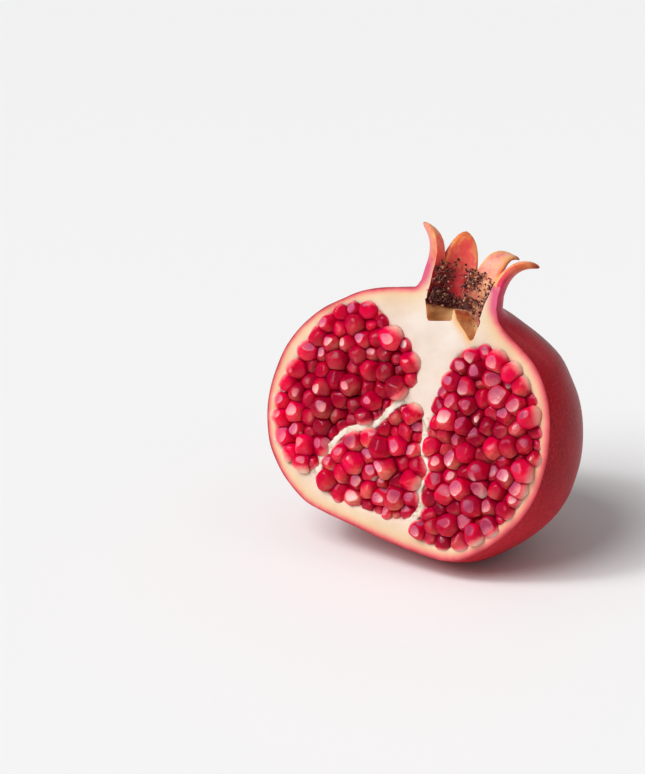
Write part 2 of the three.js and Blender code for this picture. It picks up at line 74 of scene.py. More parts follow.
# The sepals, one after another: the angle each goes to, its length, its bend.
SEPALS = [
    (48, 16.5, 97), (101, 16.9, 116), (159, 14.4, 47), (201, 15.7, 80), (252, 13.7, 59),
    (303, 14.6, 92), (355, 13.75, 79),
]
LATE_BEND = 0.6  # sepals bend more towards their tips
# A sepal's outline: the power of the place across it, and the power of what that leaves.
BLADE_OUTLINE, BLADE_TAPER, BLADE_ROUND = (1.4, 0.66), 0.28, 10
# One sepal is narrow and hooked on its one side, and thinner.
HOOKED_SEPAL, HOOKED_OUTLINE, HOOKED_TAPER = 1, (0.75, 1.25), 0.66
# The cup inside the crown: height t, radius, its middle a.
CUP = [
    (44.0, 10.1, -0.3), (41.0, 9.7, -0.3), (38.2, 9.7, -0.2), (36.9, 9.5, -0.1), (36.3, 9.9, 0.0),
    (35.4, 9.7, 0.3),
]
CUP_BELOW = (31.5, 8.8, 0.9)  # the wall goes on to here behind the floor, for the stamens
# Its floor, u and v: a flat hollow, a thin ridge, and a slope down into a deeper corner.
CUP_FLOOR = [
    (4.4, 31.8), (4.75, 30.95), (5.4, 30.8), (12.6, 30.65), (12.9, 31.2), (13.15, 34.0),
    (13.45, 34.35), (13.85, 33.2), (14.3, 31.3), (14.9, 30.2), (17.0, 27.5), (18.4, 25.1),
    (19.1, 24.6), (20.0, 25.2), (21.4, 28.4),
]
CUP_FLANK = [(13.5, 34.0), (14.6, 30.4), (16.4, 27.9), (18.5, 24.8)]  # the ridge's lit side
FLANK_REACH = 1.6
# The chambers' outlines on the face, u and v.
CHAMBERS = {
    "left": [
        (-19.6, 36.9), (-14.2, 36.2), (-10.4, 33.6), (-7.8, 29.6), (-3.6, 26.6), (-0.6, 22.8),
        (1.4, 18.4), (1.2, 14.4), (-0.6, 11.0), (-4.2, 8.5), (-7.9, 5.9), (-10.6, 3.1),
        (-13.4, 0.8), (-18.1, -0.3), (-22.4, -1.0), (-26.1, -3.2), (-28.7, -6.2), (-31.9, -9.4),
        (-33.6, -13.2), (-36.8, -14.6), (-41.0, -13.6), (-44.4, -10.6), (-46.9, -6.6),
        (-48.5, -1.9), (-48.8, 3.7), (-48.0, 9.0), (-46.0, 13.8), (-43.0, 18.2), (-39.4, 22.8),
        (-35.6, 27.4), (-31.6, 32.2), (-25.8, 35.8),
    ],
    "middle": [
        (-2.4, 6.2), (1.2, 4.8), (2.9, 1.6), (2.9, -3.2), (1.6, -7.1), (2.9, -11.0),
        (3.8, -14.8), (1.2, -18.0), (0.6, -21.0), (1.2, -25.0), (-1.8, -28.0), (-6.0, -28.6),
        (-10.4, -28.0), (-15.0, -26.4), (-19.6, -25.0), (-24.4, -23.6), (-29.4, -21.6),
        (-33.0, -17.6), (-31.8, -13.6), (-30.2, -10.4), (-27.2, -7.3), (-24.6, -4.5),
        (-21.5, -2.9), (-17.6, -2.2), (-12.5, -1.0), (-9.1, 1.7), (-6.2, 4.6),
    ],
    "right": [
        (14.8, 20.6), (19.6, 22.6), (24.8, 22.8), (29.6, 20.6), (34.2, 17.0), (37.6, 12.4),
        (40.2, 7.4), (41.2, 1.6), (41.8, -4.0), (41.4, -9.8), (38.8, -15.6), (36.2, -21.6),
        (32.4, -27.4), (26.6, -31.6), (20.4, -35.4), (13.8, -36.8), (8.0, -36.8), (2.8, -35.0),
        (-0.8, -32.4), (0.9, -29.4), (3.3, -25.6), (2.5, -21.4), (3.0, -18.6), (5.4, -15.2),
        (4.7, -10.7), (3.3, -7.2), (4.6, -3.5), (5.8, 2.0), (6.6, 6.0), (9.0, 10.6), (11.8, 15.0),
    ],
}

FLOOR_MIDDLE, FLOOR_RADIUS, FLOOR_STEP = 12.75, 8.4, 0.36
# Where the painted shade at the wall's foot gives way to the tan hollows, u and v.
HOLLOW_TOP = [(3.0, 36.2), (8.0, 34.9), (12.5, 33.8), (14.8, 31.6), (17.5, 28.9), (22.0, 25.5)]

# ---- fine mesh settings
SEPAL_STEPS, BEND_STEPS = 22, 12
BODY_RINGS, BLADE_RINGS, CUP_RINGS = 74, 16, 22
CUP_FOOT = (0.25, 0.5, 0.75, 0.92)  # rings from the cup's wall down to its floor
FACE_STEP, WALL_STEP = 1.15, 0.5  # between points on the cut, and by its edges and thin walls
FACE_SEED, FACE_JITTER = 4, 0.16
THIN_WALL = 4.4  # on a thin wall the ways to two chambers add up to less than this
POCKET_DEPTHS = (1.3, 2.6, 4.6, 8.0)
# Places where a thin wall spreads into a flap: chamber, u, v, reach, depth.
FLAPS = [
    ("left", -30.5, -9.0, 3.2, 1.3), ("left", -20.0, -0.8, 2.0, 0.5),
    ("right", 3.6, -5.5, 2.2, 0.6),
]
RIND_LIP, WALL_LIP = 0.7, -0.32  # how far the rind and the thin walls reach under the arils
SKIN_LAYERS = ("height", "inner", "tip", "edge", "across", "above")
FAR = 20.0  # stands in SKIN_LAYERS for a place that is far off
AT_ONCE = 2000  # points measured together, to save memory

# ---- the arils' settings
# They are pushed together at random. Lengths along w are squeezed by ARIL_SQUEEZE.
SEEDS = {"left": 11, "middle": 22, "right": 33}
ARIL_SQUEEZE = 0.74
ARIL_SMALLEST, ARIL_LARGEST = 2.5, 3.8
HEAP_COUNT = 0.078  # arils to a square millimetre of chamber
HEAP_DEPTH, HEAP_CEILING = 6.5, (-3.0, -0.25)  # each aril has its own ceiling between these
HEAP_STEPS, HEAP_PUSH, HEAP_RISE = 160, 0.32, 0.02
HEAP_PRESS = 0.88  # the share of two radii at which arils touch
EDGE_SHARE = 0.8  # the share of its radius that an aril stays away from the rind
# Small arils for the gaps: how many at most, the places tried, the least gap, how deep.
MOST_FILLERS, FILLER_PLACES, FILLER_GAP, FILLER_LEVEL = 24, 6000, 0.45, -1.9
TOP_LAYER = -3.6  # arils above this are seen, and are finer
ARIL_SWELL = 1.22  # each grows until its neighbours flatten it
NEIGHBOURS_WITHIN = 7.5
ARIL_GAP = -0.03
ARIL_FACETS, ARIL_CRISP = 8, 22
ARIL_LAYERS = ("one", "two", "base", "table", "clear", "glow", "painted_glow", "lift")
# Their looks: tones, how many have a painted reflection, how far out its facet lies, their painted
# glow, the reflection's lightness.
ARIL_LOOKS = {
    "left": ((0.1, 0.85), 0.7, (0.83, 0.95), 0.3, (0.6, 1.0)),
    "middle": ((0.2, 0.95), 0.7, (0.80, 0.94), 0.9, (0.3, 1.0)),
    "right": ((0.15, 0.95), 0.9, (0.76, 0.92), 0.5, (0.1, 0.8)),
}
# Where they lie deep red, u and v.
DIM_SPOTS = [(-30, 10), (-19, 5), (-9, 11), (21, -4), (22, -19), (7, -29), (-3, -19)]
DIM_REACH = 7
BED_STEP, BED_TOP, BED_BOTTOM = 1.3, -1.5, -7.9

# ---- the stamens' settings
STAMEN_SEED = 12
THREAD_SIDES, THREAD_POINTS = 5, 5
ANTHER_SHADES, ANTHER_CHANCES = (0.0, 0.15, 0.35, 0.65, 0.9), (0.36, 0.28, 0.18, 0.10, 0.08)
# Patches of stamens: angles, heights and how many.
STAMEN_PATCHES = [
    (4, 176, 36, 47, 50), (115, 176, 35.6, 39.0, 80), (8, 70, 34, 46.5, 130),
    (138, 176, 42, 47.5, 44), (84, 112, 42.5, 47.5, 60), (70, 110, 36, 41, 30),
    (145, 176, 38, 43, 20),
]

# ---- the studio's settings
PICTURE = (645, 774)  # pixels
FACE_AT = (414, 424)  # where the face's origin comes in it, from its top left corner
PIXELS_A_MM = 3.333
CAMERA_AWAY = 800  # mm
SENSOR = 36
# Suns: energy, how wide in degrees, and the way to each in the face frame.
SUNS = [("key", 2.5, 44, (-0.20, 0.55, 0.81)), ("sparkle", 0.55, 10, (-0.30, 0.60, 0.74))]
AMBIENT = 0.30
FACE_LIGHT = 1.22  # light on the cut, over pi
FLOOR_REACH, FLOOR_DROP = 6, 0.0002  # m

# ---- small tools


def smooth(a, b, x):
    """From 0 at a to 1 at b, without corners."""
    f = np.clip((np.asarray(x, float) - a) / (b - a), 0, 1)
    return f * f * (3 - 2 * f)


def rgb(red, green, blue):
    """A colour as it shows on a screen, 0 to 255, for a shader."""
    return tuple(
        ((c / 255 + 0.055) / 1.055) ** 2.4 if c > 10 else c / 3295 for c in (red, green, blue)
    )


def seen(red, green, blue):
    """The base colour that shows as a given one where the key light falls straight on it."""
    return tuple(c / FACE_LIGHT for c in rgb(red, green, blue))


def curve_through(rows, count, closed=False):
    """A curve through rows of numbers, sampled at count places."""
    rows = np.asarray(rows, float)
    n = len(rows)
    spans = n if closed else n - 1
    x = np.arange(count) / (count if closed else count - 1) * spans
    i = np.minimum(spans - 1, np.floor(x).astype(int))
    f = (x - i)[:, None]

    def at(k):
        return rows[k % n] if closed else rows[np.clip(k, 0, n - 1)]

    p, q, r, s = at(i - 1), at(i), at(i + 1), at(i + 2)
    on = (r - p) * f + (2 * p - 5 * q + 4 * r - s) * f**2
    return q + (on + (3 * q - p - 3 * r + s) * f**3) / 2


def fruit(a, t, w):
    """A point of the fruit's own axes in the face frame."""
    c, s = math.cos(CROWN_LEAN), math.sin(CROWN_LEAN)
    a, t, w = np.broadcast_arrays(a, t, w)
    return np.stack([a * c + t * s, -a * s + t * c, w], -1)


def neck_point(t, radius, middle, angle):
    """A point round the neck's axis, where angle may be many."""
    return fruit(middle + radius * np.cos(angle), t, NECK_AXIS_W - radius * np.sin(angle))


def fruit_axes(u, v):
    """Where a place on the face lies across and along the fruit: the way back from fruit()."""
    c, s = math.cos(CROWN_LEAN), math.sin(CROWN_LEAN)
    return u * c - v * s, u * s + v * c


def standing_matrix():
    """From the face frame in millimetres to the part's frame in metres."""
    towards = Vector((math.sin(FACE_TURN), 0, math.cos(FACE_TURN)))
    up = towards * math.sin(STAND_TILT) + Vector((0, math.cos(STAND_TILT), 0))
    back = (Vector((0, 0, -1)) + up * up.z).normalized()
    right = back.cross(up)
    rows = [list(axis) + [offset] for axis, offset in zip((right, back, up), SPOT)]
    return Matrix.Scale(0.001, 4) @ Matrix(rows + [[0, 0, 0, 1]])


TO_PART = standing_matrix()


def rough(p, scale, octaves=3, shift=0.0):
    """Soft noise from about -1 to 1 at a point in millimetres."""
    offset = Vector((shift, 3.1 * shift, 7.7))
    return noise.fractal(Vector(p) / scale + offset, 0.9, 2.0, octaves)


def area(loop):
    """The area in a closed outline."""
    x, y = loop[:, 0], loop[:, 1]
    return 0.5 * abs(np.sum(x * np.roll(y, -1) - np.roll(x, -1) * y))


def inside(points, outline):
    """Which points lie inside a closed outline."""
    x, y = points[:, 0][:, None], points[:, 1][:, None]
    x1, y1 = outline[:, 0], outline[:, 1]
    x2, y2 = np.roll(x1, -1), np.roll(y1, -1)
    crosses = (y1 > y) != (y2 > y)
    with np.errstate(divide="ignore", invalid="ignore"):
        at = (x2 - x1) * (y - y1) / (y2 - y1) + x1
    return (crosses & (x < at)).sum(1) % 2 == 1


def distance(points, line, closed=True):
    """How far points lie from a line of points."""
    a = np.asarray(line, float)
    b = np.roll(a, -1, 0)
    if not closed:
        a, b = a[:-1], b[:-1]
    e = b - a
    length = np.maximum((e**2).sum(1), 1e-12)
    best = np.full(len(points), 1e9)
    for start in range(0, len(points), AT_ONCE):
        some = slice(start, start + AT_ONCE)
        p = points[some][:, None, :]
        f = np.clip(((p - a) * e).sum(2) / length, 0, 1)
        best[some] = np.sqrt((((a + f[..., None] * e) - p) ** 2).sum(2)).min(1)
    return best


def nearest(points, outlines):
    """How far points lie from closed outlines, the nearest first."""
    return np.sort([distance(points, outline) for outline in outlines], 0)


def even_loop(outline, step):
    """A closed outline with its points an even step apart."""
    closed = np.vstack([outline, outline[:1]])
    lengths = np.r_[0, np.cumsum(np.linalg.norm(np.diff(closed, axis=0), axis=1))]
    count = round(lengths[-1] / step)
    at = np.arange(count) / count * lengths[-1]
    return np.stack([np.interp(at, lengths, closed[:, k]) for k in range(2)], 1)


def grown(loop, by):
    """A closed outline moved outwards. It runs clockwise, as all in this script do."""
    along = np.roll(loop, -1, 0) - np.roll(loop, 1, 0)
    along /= np.linalg.norm(along, axis=1)[:, None]
    return loop + np.stack([-along[:, 1], along[:, 0]], 1) * by


def staggered(outline, step):
    """Points over an outline and round it, every other row moved by half a step."""
    xs, ys = (np.arange(low, high, step) for low, high in zip(outline.min(0), outline.max(0)))
    return np.array([(x + (step / 2 if k % 2 else 0), y) for k, y in enumerate(ys) for x in xs])


def round_pairs(count):
    """The edges of a closed ring of points, by their numbers."""
    return [(i, (i + 1) % count) for i in range(count)]


def triangulated(points, edges, kind):
    """Points, faces and the points they come from; kind 1 keeps to the outline's inside."""
    made = delaunay_2d_cdt([Vector(p) for p in points], edges, [], kind, 1e-6)
    return np.array([tuple(v) for v in made[0]]), made[2], made[3]


def in_scene(data, materials=()):
    """An object for a mesh, a light or a camera."""
    for material in materials:
        data.materials.append(material)
    piece = bpy.data.objects.new(data.name, data)
    bpy.context.scene.collection.objects.link(piece)
    return piece


def mesh_object(name, verts, faces, layers, material):
    """A smooth object from face-frame millimetres. layers is {name: value a point}."""
    mesh = bpy.data.meshes.new(name)
    mesh.from_pydata([tuple(v) for v in verts], [], [tuple(int(i) for i in f) for f in faces])
    mesh.transform(TO_PART)
    for key, values in layers.items():
        layer = mesh.attributes.new(key, "FLOAT", "POINT")
        layer.data.foreach_set("value", np.asarray(values, np.float32))
    mesh.polygons.foreach_set("use_smooth", [True] * len(mesh.polygons))
    mesh.update()
    return in_scene(mesh, [material])


def bmesh_object(name, bm, materials):
    """An object from a bmesh in face-frame millimetres, none of it under the floor."""
    for v in bm.verts:
        v.co = TO_PART @ v.co
        v.co.z = max(v.co.z, 0.0)
    mesh = bpy.data.meshes.new(name)
    bm.to_mesh(mesh)
    bm.free()
    return in_scene(mesh, materials)


def hand_over(piece, node):
    """A piece that rides on the body, in the place of a node of the part if one is named."""
    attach(piece, "root")
    if node:
        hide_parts(node)


# ---- materials


class Paint:
    """A node material being put together. A text where a value goes names a mesh layer."""

    def __init__(self, name, base, roughness):
        self.material = bpy.data.materials.new(name)
        self.material.use_nodes = True
        self.tree = self.material.node_tree
        self.shader = self.tree.nodes["Principled BSDF"].inputs
        self.put(base, self.shader["Base Color"])
        self.put(roughness, self.shader["Roughness"])

    def node(self, kind, inputs=(), **settings):
        """A node with its settings and with its inputs, by their names or numbers."""
        made = self.tree.nodes.new(kind)
        for key, value in settings.items():
            setattr(made, key, value)
        for key, value in dict(inputs).items():
            self.put(value, made.inputs[key])
        return made

    def put(self, value, socket):
        """Gives a socket a number, a colour, a mesh layer or another node's output."""
        if isinstance(value, str):
            value = self.node("ShaderNodeAttribute", attribute_name=value).outputs["Fac"]
        if isinstance(value, (int, float)):
            socket.default_value = value
        elif isinstance(value, tuple):
            socket.default_value = (*value, 1)
        else:
            self.tree.links.new(value, socket)

    def texture(self, kind, stretch=None, **values):
        """A texture by place on the object; its scale is waves a metre."""
        place = self.node("ShaderNodeTexCoord").outputs["Object"]
        if stretch:
            mapping = self.node("ShaderNodeMapping", {"Vector": place})
            mapping.inputs["Scale"].default_value = stretch
            place = mapping.outputs["Vector"]
        return self.node(kind, {**values, "Vector": place}).outputs

    def noise(self, scale, detail=3.0, distortion=0.0, stretch=None, rough=0.55):
        values = {"Scale": scale, "Detail": detail, "Roughness": rough, "Distortion": distortion}
        return self.texture("ShaderNodeTexNoise", stretch, **values)["Fac"]

    def ramp(self, value, *stops, paint=rgb):
        """Colours along a value. Each stop is its place, then red, green and blue, 0 to 255."""
        made = self.node("ShaderNodeValToRGB", {"Fac": value})
        elements = made.color_ramp.elements
        while len(elements) < len(stops):
            elements.new(0.5)
        for element, (place, *colour) in zip(elements, stops):
            element.position = place
            element.color = (*paint(*colour), 1)
        return made.outputs["Color"]

    def span(self, value, low, high, to_low=0.0, to_high=1.0):
        """A value between low and high turned into one between to_low and to_high."""
        ends = {"From Min": low, "From Max": high, "To Min": to_low, "To Max": to_high}
        return self.node("ShaderNodeMapRange", {"Value": value, **ends}).outputs["Result"]

    def all_of(self, operation, so_far, *values):
        for value in values:
            made = self.node("ShaderNodeMath", {0: so_far, 1: value}, operation=operation)
            so_far = made.outputs[0]
        return so_far

    def times(self, *values):
        return self.all_of("MULTIPLY", *values)

    def plus(self, *values):
        return self.all_of("ADD", *values)

    def over(self, share, tone):
        """A share of a tone over the colour so far."""
        self.colour = self.mix(share, self.colour, tone)

    def mix(self, share, a, b, blend="MIX"):
        """Colour a with a share of colour b."""
        inputs = {0: share, 6: a, 7: b}
        return self.node("ShaderNodeMix", inputs, data_type="RGBA", blend_type=blend).outputs[2]

    def bump(self, height, strength, distance):
        inputs = {"Height": height, "Strength": strength, "Distance": distance}
        self.put(self.node("ShaderNodeBump", inputs).outputs["Normal"], self.shader["Normal"])

    def finish(self, **settings):
        """The material, with its colour and the shader's own numbers set."""
        self.put(self.colour, self.shader["Base Color"])
        for key, value in settings.items():
            self.shader[key.replace("_", " ")].default_value = value
        return self.material


def skin_material():
    """Waxy leathery skin: mottled red, magenta on the crown, orange at the sepals' tips."""
    p = Paint("pomegranate_skin", (0.42, 0.01, 0.03), 0.36)
    fine = p.noise(1300, 3, 0.3)
    red = p.ramp(p.noise(38, 4, 0.6), (0.30, 140, 4, 24), (0.5, 172, 8, 32), (0.72, 196, 16, 42))
    freckle = p.ramp(fine, (0.36, 122, 4, 22), (0.5, 172, 12, 34), (0.68, 218, 66, 64))
    red = p.mix(0.3, red, freckle)
    magenta = p.mix(p.span(p.noise(90), 0.35, 0.65), rgb(202, 30, 76), rgb(236, 76, 116))
    red = p.mix(p.span("height", 37.5, 43.5), red, magenta)
    orange = p.ramp(p.noise(120, 4), (0.35, 204, 84, 52), (0.65, 236, 140, 96))
    p.colour = p.mix(p.span("tip", 0.22, 0.72), red, orange)
    p.over(p.span("tip", 0.84, 0.98), rgb(140, 46, 28))
    pores = p.texture("ShaderNodeTexVoronoi", Scale=900)["Distance"]
    p.bump(p.plus(p.times(fine, 0.6), pores), 0.22, 0.00025)
    return p.finish(Specular_IOR_Level=0.07)


def flesh_material():
    """The cut: a thin red skin line, then pink, cream pith and papery walls."""
    p = Paint("pomegranate_pith", rgb(246, 222, 204), 0.5)
    depth = p.plus("from_skin", p.noise(220), -0.5)
    depth = p.times(depth, p.span("across", -45, 40, 1.4, 0.85))
    rind = p.ramp(
        p.span(depth, 0, 12),
        (0.01, 176, 22, 46), (0.045, 226, 78, 92), (0.09, 244, 128, 124), (0.135, 248, 168, 146),
        (0.20, 247, 204, 166), (0.30, 246, 218, 180), (0.48, 246, 222, 196), (1.0, 246, 232, 220),
        paint=seen,
    )
    cloud = p.mix(p.span(p.noise(70, 4), 0.35, 0.7), rgb(240, 232, 224), (1.0, 1.0, 1.0))
    p.colour = p.mix(1.0, rind, cloud, "MULTIPLY")
    blush = p.times(p.span("height", 36.5, 42.5), p.span(depth, 4.2, 1.4))
    p.over(blush, seen(226, 84, 126))
    orange = p.ramp(
        p.noise(300, 4, 0.8),
        (0.36, 232, 104, 84), (0.5, 240, 138, 98), (0.64, 250, 174, 110), paint=seen,
    )
    sepal = p.mix(p.span(depth, 1.9, 0.3, 0.0, 0.9), orange, seen(238, 146, 140))
    p.over(p.span("height", 46.2, 49.5), sepal)
    # Painted light: a warm lit tint on the cut beside the lit side of the cup's ridge.
    p.over(p.span("flank", 0.15, 0.85), seen(242, 184, 116))
    papery = p.ramp(
        p.noise(240, 4, 1.2, rough=0.6),
        (0.33, 186, 158, 136), (0.41, 222, 202, 178), (0.49, 240, 228, 210), (0.64, 248, 242, 232),
        paint=seen,
    )
    p.over(p.span("wall", 0.1, 0.8), papery)
    p.over("pocket", rgb(196, 30, 56))
    p.bump(p.noise(520, 5), 0.25, 0.0003)
    return p.finish(
        Subsurface_Weight=0.2, Subsurface_Radius=(1.0, 0.6, 0.4), Subsurface_Scale=0.001
    )


def crown_material():
    """Inside the crown: coral wall, orange sepals, tan hollows in the floor."""
    p = Paint("pomegranate_crown_inside", (0.62, 0.12, 0.07), 0.6)
    # The wall, from painted shade at its dark left to its warm right.
    streak = p.noise(150, 5, 1.2)
    coral = p.ramp(streak, (0.3, 190, 26, 44), (0.5, 228, 58, 66), (0.72, 240, 104, 96))
    # Painted shade: the wall's left is darkened to maroon.
    painted_wall_shade = p.ramp(streak, (0.34, 78, 14, 28), (0.6, 160, 30, 52))
    p.colour = p.mix(p.span("across", -5.6, -7.8, 0, 0.6), coral, painted_wall_shade)
    warm = p.ramp(streak, (0.34, 206, 100, 74), (0.6, 246, 186, 136))
    p.over(p.span("across", -4.6, -1.6, 0, 0.85), warm)
    # The sepals: redder at the left, with orange rims and mottled, and dry at their tips.
    tip = p.span("tip", 0.02, 0.3)
    orange = p.ramp(p.noise(110, 4, 0.5), (0.3, 222, 68, 66), (0.7, 244, 116, 96))
    pink = p.ramp(p.noise(90, 4, 0.5), (0.3, 238, 140, 122), (0.7, 250, 184, 158))
    p.over(tip, p.mix(p.span("across", -3.0, -1.0), orange, pink))
    # Painted light: the left sepal's inner face, turned from the key light, gets a lit pink and
    # orange, and no orange rim.
    left = p.mix(p.span("tip", 0.2, 0.8), rgb(255, 96, 104), rgb(255, 168, 124))
    p.over(p.times(tip, p.span("across", -10.3, -12.0)), left)
    on_blade = p.span("tip", 0.02, 0.2)
    edge = p.times(p.span("edge", 4.0, 0.8), p.span("across", -13.0, -12.0), on_blade, 0.85)
    rim = p.ramp(p.noise(130), (0.35, 230, 122, 62), (0.65, 248, 172, 104))
    p.over(edge, rim)
    mottle = p.noise(300, 4, 0.8)
    p.over(p.times(p.span(mottle, 0.52, 0.66, 0, 0.6), on_blade), rgb(250, 172, 100))
    p.over(p.times(p.span(mottle, 0.46, 0.34, 0, 0.5), on_blade), rgb(222, 44, 60))
    dry = p.plus("tip", p.span("across", -4.0, 2.0, 0.0, 0.1))
    p.over(p.span(dry, 0.88, 1.02, 0.0, 0.85), rgb(158, 60, 34))
    # The foot of the wall is darkened with painted shade, down to the tan hollows.
    above = p.plus("above", p.times(p.plus(p.noise(200, 2), -0.5), 1.4))
    foot_shade = p.times(p.span(above, 4.6, 1.4), p.span("across", 5.0, -1.0), 0.9)
    p.over(foot_shade, p.ramp(streak, (0.3, 52, 14, 22), (0.65, 112, 30, 40)))
    grain = p.noise(120, 4, stretch=(1, 1, 3))
    tan = p.ramp(grain, (0.3, 166, 104, 60), (0.5, 214, 156, 98), (0.7, 240, 196, 140))
    p.over(p.span(above, 0.3, -0.2), tan)
    p.bump(p.noise(420, 5), 0.35, 0.0004)
    return p.finish(
        Subsurface_Weight=0.7, Subsurface_Radius=(1.0, 0.5, 0.35), Subsurface_Scale=0.006
    )


def aril_material():
    """Juicy arils: crimson with a painted glow, lighter at the sides and salmon low down, and a
    painted mauve reflection on top.
    """
    p = Paint("pomegranate_arils", rgb(160, 4, 40), 0.12)
    top = p.ramp("one", (0.0, 138, 0, 34), (0.35, 168, 0, 45), (0.7, 196, 0, 53), (1.0, 226, 0, 68))
    side = p.ramp("one", (0.0, 160, 0, 40), (0.5, 212, 0, 58), (1.0, 250, 4, 80))
    # Painted glow: the sides are lighter than the top, as light through the aril would make them.
    p.colour = p.mix(p.span("lift", 0.75, 0.2), top, side)
    streaks = p.span(p.noise(520, 2, 3.0), 0.58, 0.66, 0, 0.25)
    p.over(streaks, rgb(222, 40, 78))
    cloud = p.span(p.noise(420, 3, 1.0), 0.3, 0.72, -0.18, 0.18)
    glow = p.plus("glow", cloud)
    # Painted glow: salmon where light through the aril would come out.
    warm = p.ramp(
        glow, (0.0, 172, 0, 44), (0.4, 206, 24, 58), (0.7, 226, 90, 84), (1.0, 240, 160, 130)
    )
    p.over(p.times("painted_glow", p.span(glow, 0.0, 0.4)), warm)
    # Painted shade: dark crimson on the side away from the painted glow.
    p.over(p.span(glow, 0.05, -0.75, 0, 0.5), rgb(110, 0, 34))
    # Painted reflection: a mauve patch on the top facet stands in for the key light's reflection,
    # lighter towards the glow.
    mauve = p.mix("two", rgb(146, 46, 84), rgb(208, 108, 146))
    bright = p.mix("two", rgb(222, 124, 146), rgb(250, 186, 182))
    painted_reflection = p.times(p.span("table", 0.36, 0.56), "clear")
    p.over(painted_reflection, p.mix(p.span(glow, 0.05, 0.62), mauve, bright))
    # Painted highlight: a pale glint at the lit end of the painted reflection.
    glint = p.times(painted_reflection, p.span(glow, 0.5, 0.8, 0.0, 0.75))
    p.over(glint, rgb(255, 226, 212))
    base = p.plus("base", p.times(cloud, 0.5))
    pale = p.ramp(
        base, (0.1, 220, 20, 66), (0.42, 240, 104, 116), (0.75, 246, 170, 154), (1.0, 250, 206, 180)
    )
    p.over(p.times(p.span(base, 0.1, 0.4), p.span("lift", -0.15, 0.35)), pale)
    # Painted glow: the lower sides, deep in the gaps, are a bright red as light through the arils
    # would make them.
    p.over(p.span("lift", 0.15, -0.5), rgb(250, 0, 50))
    p.bump(p.noise(300, 2), 0.08, 0.0003)
    return p.finish(
        Subsurface_Weight=1.0, Subsurface_Radius=(1.0, 0.03, 0.05), Subsurface_Scale=0.005,
        Coat_Weight=0.26, Coat_Roughness=0.04, Specular_IOR_Level=0.02, IOR=1.32,
    )


def bed_material():
    """The juicy mass between the arils: red, painted brighter as a glow of light through the arils,
    and pale where it meets the rind.
    """
    p = Paint("pomegranate_bed", (0.4, 0.0, 0.02), 0.3)
    # Painted glow: the red is bright so that the gaps between the arils look lit through, not
    # shaded.
    red = p.ramp(p.noise(260), (0.3, 206, 0, 40), (0.7, 246, 0, 56))
    p.colour = p.mix(p.span("rim", 1.6, 0.1), red, rgb(236, 120, 110))
    return p.finish(Specular_IOR_Level=0.2)


def stamen_material():
    """Dried threads and anthers, from nearly black to straw."""
    p = Paint("pomegranate_stamens", (0.2, 0.08, 0.04), 0.85)
    p.bump(p.noise(1500), 0.4, 0.0002)
    p.colour = p.ramp(
        "one", (0.0, 62, 24, 30), (0.3, 112, 52, 48), (0.6, 182, 118, 92), (1.0, 232, 190, 160)
    )
    return p.finish()


# ---- the peel


def column_angles():
    """Angles round the fruit, closer together at the notches between the sepals."""
    angles, start = [], FIRST_NOTCH
    for to, _, _ in SEPALS:
        share = (1 - np.cos(np.pi * np.arange(SEPAL_STEPS) / SEPAL_STEPS)) / 2
        angles.extend(start + (to - start) * share)
        start = to
    return np.radians(angles)


def body_ring(row, angles):
    """A ring of the skin, from its height and its two sides in the outline."""
    t, left, right = row
    w = BODY_AXIS_W + (NECK_AXIS_W - BODY_AXIS_W) * smooth(NECK_FROM, NECK_TO, t)
    half = (right - left) / 2
    radius = math.hypot(half, w * smooth(4, 20, half))
    ribs = RIB * smooth(*RIBS_RISE, t) * (1 - smooth(*RIBS_FALL, t))
    lift = SHOULDER_LIFT * smooth(*SHOULDER_RISE, t) * (1 - smooth(*SHOULDER_FALL, t))
    c, s = np.cos(angles), np.sin(angles)
    r = radius * (1 + ribs * np.sin(RIB_COUNT * angles))
    return fruit((left + right) / 2 + r * c, t + lift * np.maximum(0, s), w - r * s)


def blade_ring(angles, share, side):
    """Points up the crown's wall, and how far along its sepal and from its rim each is."""
    degrees = np.degrees(angles)
    ends = np.array([FIRST_NOTCH] + [s[0] for s in SEPALS], float)
    which = np.searchsorted(ends, degrees + 1e-7, side="right") - 1
    which = np.clip(which, 0, len(SEPALS) - 1)
    across = 2 * (degrees - ends[which]) / (ends[which + 1] - ends[which]) - 1
    full = np.array([s[1] for s in SEPALS])[which]
    bend = np.radians([s[2] for s in SEPALS])[which]
    hooked = (which == HOOKED_SEPAL) & (across < 0)
    width, point = (np.where(hooked, *pair) for pair in zip(HOOKED_OUTLINE, BLADE_OUTLINE))
    reach = np.maximum(0, 1 - np.abs(across) ** width) ** point
    length = NOTCH_LENGTH + (full - NOTCH_LENGTH) * reach
    curl = NOTCH_CURL + (bend / full - NOTCH_CURL) * (1 - across**2)
    along = share * length
    turn = curl * along * (along / full) ** LATE_BEND
    steps = (np.arange(BEND_STEPS) + 0.5)[:, None] / BEND_STEPS
    on_the_way = turn * steps ** (1 + LATE_BEND)
    outwards, upwards = np.sin(on_the_way).mean(0) * along, np.cos(on_the_way).mean(0) * along
    taper = np.where(which == HOOKED_SEPAL, HOOKED_TAPER, BLADE_TAPER)
    thin = 1 - taper * np.minimum(1, along / full)
    wall = WALL * thin * (1 - share**BLADE_ROUND) ** 0.5
    r = CROWN_RADIUS + outwards + side * wall * np.cos(turn) / 2
    t = CROWN_FROM + upwards - side * wall * np.sin(turn) / 2
    return neck_point(t, r, CROWN_A, angles), along / full, (1 - share) * length


def floor_ring(radius, angles):
    """A ring on the cup's floor, which lies level across the face and not across the crown."""
    u = FLOOR_MIDDLE + radius * np.cos(angles)
    return np.stack([u, np.interp(u, *zip(*CUP_FLOOR)), -radius * np.sin(angles)], -1)


